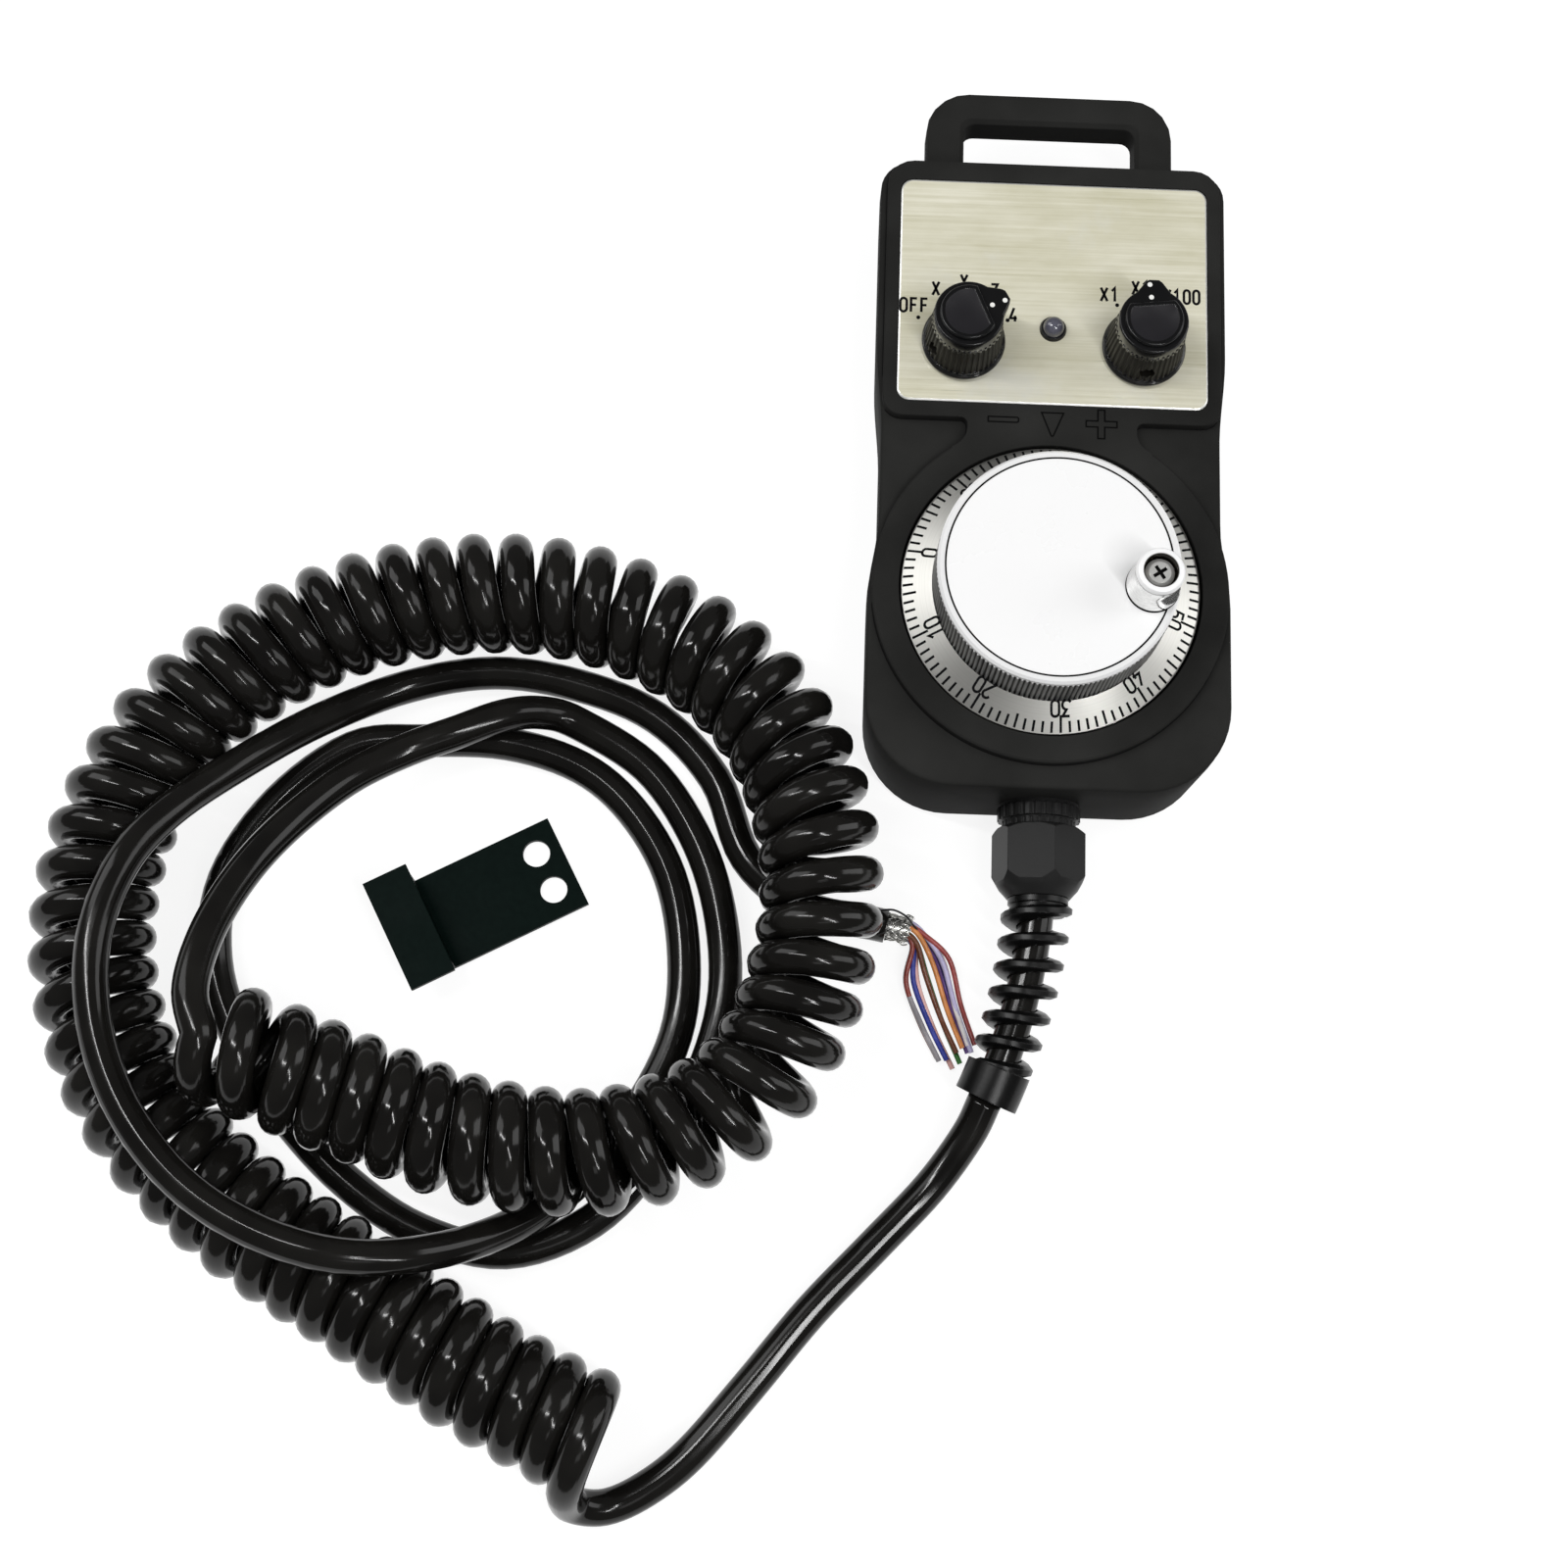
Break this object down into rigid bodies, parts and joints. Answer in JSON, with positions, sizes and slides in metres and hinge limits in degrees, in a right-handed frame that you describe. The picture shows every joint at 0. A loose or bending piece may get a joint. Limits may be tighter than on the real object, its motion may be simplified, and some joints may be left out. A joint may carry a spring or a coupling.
{
  "type": "pulse generator handwheel",
  "caption": "Hand-held manual pulse generator with a graduated crank handwheel, two selector knobs, a carrying loop, a curled cord and a wall hanger.",
  "frame": {"origin": "on the handwheel axis, at the plane of the housing's back, which the part rests on", "axes": "+Z out of the face along the handwheel axis, +Y towards the carrying loop, +X to the right"},
  "size_m": [0.2359, 0.2985, 0.0547],
  "materials": {
    "black_plastic": "fine texture",
    "knob_black": "satin",
    "gland_black": "satin",
    "switch_body": "matt",
    "gasket_rubber": "matt",
    "cord_black": "satin",
    "screw_steel": "zinc plated",
    "shaft_steel": "ground",
    "anodised": "satin anodised",
    "white_disc": "fine satin",
    "plate_face": "printed sheet with a bright edge",
    "disc_film": "film",
    "board": "lacquered",
    "terminal_green": "matt",
    "lamp_rim": "bright",
    "lens_dark": "gloss",
    "braid_tin": "tinned braid",
    "core_colour": "coloured insulation",
    "hanger_steel": "black coated"
  },
  "bodies": {
    "pendant": {"front_shell": "black_plastic", "rear_shell": "black_plastic", "shell_gasket": "gasket_rubber", "housing_screws": "screw_steel", "panel_plate": "plate_face", "encoder_body": "black_plastic", "encoder_gasket": "gasket_rubber", "encoder_screws": "screw_steel", "encoder_bearings": "shaft_steel", "sensor_board": "board", "encoder_cover": "black_plastic", "terminal_block": "terminal_green", "axis_switch": "switch_body", "axis_switch_washer": "screw_steel", "axis_switch_nut": "screw_steel", "multiplier_switch": "switch_body", "multiplier_switch_washer": "screw_steel", "multiplier_switch_nut": "screw_steel", "lamp_holder": "lamp_rim", "lamp_lens": "lens_dark", "gland_body": "gland_black", "gland_washer": "gasket_rubber", "gland_locknut": "gland_black", "gland_seal": "gasket_rubber", "gland_nut": "gland_black", "strain_relief": "gland_black", "cable_in_gland": "cord_black", "cord_lead": "cord_black", "cord_curl": "cord_black", "cord_tail": "cord_black", "cable_braid": "braid_tin", "core_wires": "core_colour", "wall_hanger": "hanger_steel"},
    "handwheel": {"dial_ring": "anodised", "knurled_drum": "anodised", "face_disc": "white_disc", "dial_screws": "screw_steel", "hub_screw": "screw_steel", "encoder_shaft": "shaft_steel", "code_disc": "disc_film", "crank_screw": "screw_steel", "crank_washer": "screw_steel"},
    "crank_handle": {"crank_sleeve": "anodised"},
    "axis_selector": {"axis_knob": "knob_black", "axis_knob_cap": "knob_black", "axis_knob_screw": "screw_steel", "axis_spindle": "shaft_steel"},
    "multiplier_selector": {"multiplier_knob": "knob_black", "multiplier_knob_cap": "knob_black", "multiplier_knob_screw": "screw_steel", "multiplier_spindle": "shaft_steel"}
  },
  "joints": [
    {"name": "handwheel_turn", "type": "hinge", "parent": "pendant", "child": "handwheel", "pos_m": [0, 0, 0.03], "axis": [0, 0, 1], "continuous": true},
    {"name": "crank_spin", "type": "hinge", "parent": "handwheel", "child": "crank_handle", "pos_m": [0.01806, -0.00351, 0.045], "axis": [0, 0, 1], "continuous": true},
    {"name": "axis_select", "type": "hinge", "parent": "pendant", "child": "axis_selector", "pos_m": [-0.0185, 0.0523, 0.03], "axis": [0, 0, 1], "range_deg": [0, 120]},
    {"name": "multiplier_select", "type": "hinge", "parent": "pendant", "child": "multiplier_selector", "pos_m": [0.0185, 0.0523, 0.03], "axis": [0, 0, 1], "range_deg": [-30, 30]}
  ]
}
